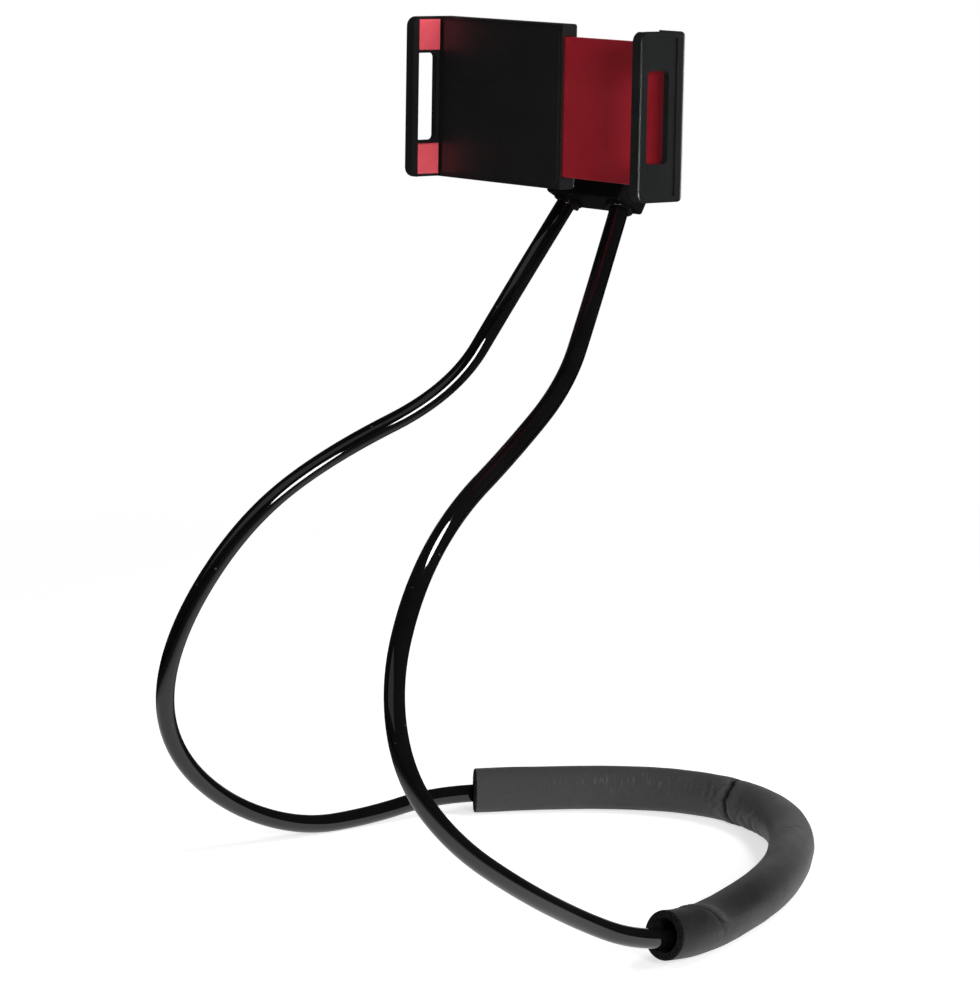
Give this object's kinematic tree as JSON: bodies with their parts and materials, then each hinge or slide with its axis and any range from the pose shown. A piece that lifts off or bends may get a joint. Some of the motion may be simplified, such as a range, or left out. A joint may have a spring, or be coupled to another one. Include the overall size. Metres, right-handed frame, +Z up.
{
  "type": "neck phone holder",
  "caption": "Bendable loop with a foam neck pad, hung round the neck or stood on a table, carrying a ball-jointed spring clamp with a sliding jaw for a phone.",
  "frame": {"origin": "on the table, under the middle of the whole holder", "axes": "+Z up, -Y the way a held phone's screen faces, +X from the fixed jaw towards the sliding jaw"},
  "size_m": [0.2702, 0.3312, 0.3645],
  "materials": {
    "sleeve": "glossy black sleeve",
    "wire": "drawn wire",
    "foam": "matte dark grey foam skin with a fine grain",
    "black_shell": "moulded black with a faint sheen",
    "red_plastic": "moulded red",
    "red_rubber": "soft matte red",
    "seat_plastic": "unpainted nylon",
    "screw_steel": "dark plated steel",
    "spring_steel": "drawn spring wire"
  },
  "bodies": {
    "loop": {"arm_sleeve": "sleeve", "arm_wire": "wire", "neck_pad": "foam", "hub_body": "black_shell", "arm_collars": "black_shell", "stud_screw": "screw_steel", "ball_stud": "black_shell"},
    "seat": {"ball_seat": "seat_plastic"},
    "nut": {"ball_nut": "black_shell"},
    "clamp": {"clamp_tray": "black_shell", "clamp_cover": "black_shell", "cover_screws": "screw_steel", "fixed_jaw_pads": "red_rubber", "upper_spring": "spring_steel", "lower_spring": "spring_steel"},
    "jaw": {"slide": "red_plastic", "moving_jaw": "black_shell", "jaw_screws": "screw_steel", "moving_jaw_pads": "red_rubber"}
  },
  "joints": [
    {"name": "ball_pan", "type": "hinge", "parent": "loop", "child": "seat", "pos_m": [-0.0025, 0.0075, 0.3315], "axis": [0, 0, 1], "range_deg": [-20, 20]},
    {"name": "ball_tilt", "type": "hinge", "parent": "seat", "child": "nut", "pos_m": [-0.0025, 0.0075, 0.3315], "axis": [-1, 0, 0], "range_deg": [-20, 20]},
    {"name": "ball_roll", "type": "hinge", "parent": "nut", "child": "clamp", "pos_m": [-0.0025, 0.0075, 0.3315], "axis": [0, -1, 0], "range_deg": [-10, 95]},
    {"name": "jaw_slide", "type": "slide", "parent": "clamp", "child": "jaw", "axis": [1, 0, 0], "range_m": [-0.051, 0.012], "deforming": ["upper_spring", "lower_spring"]}
  ]
}
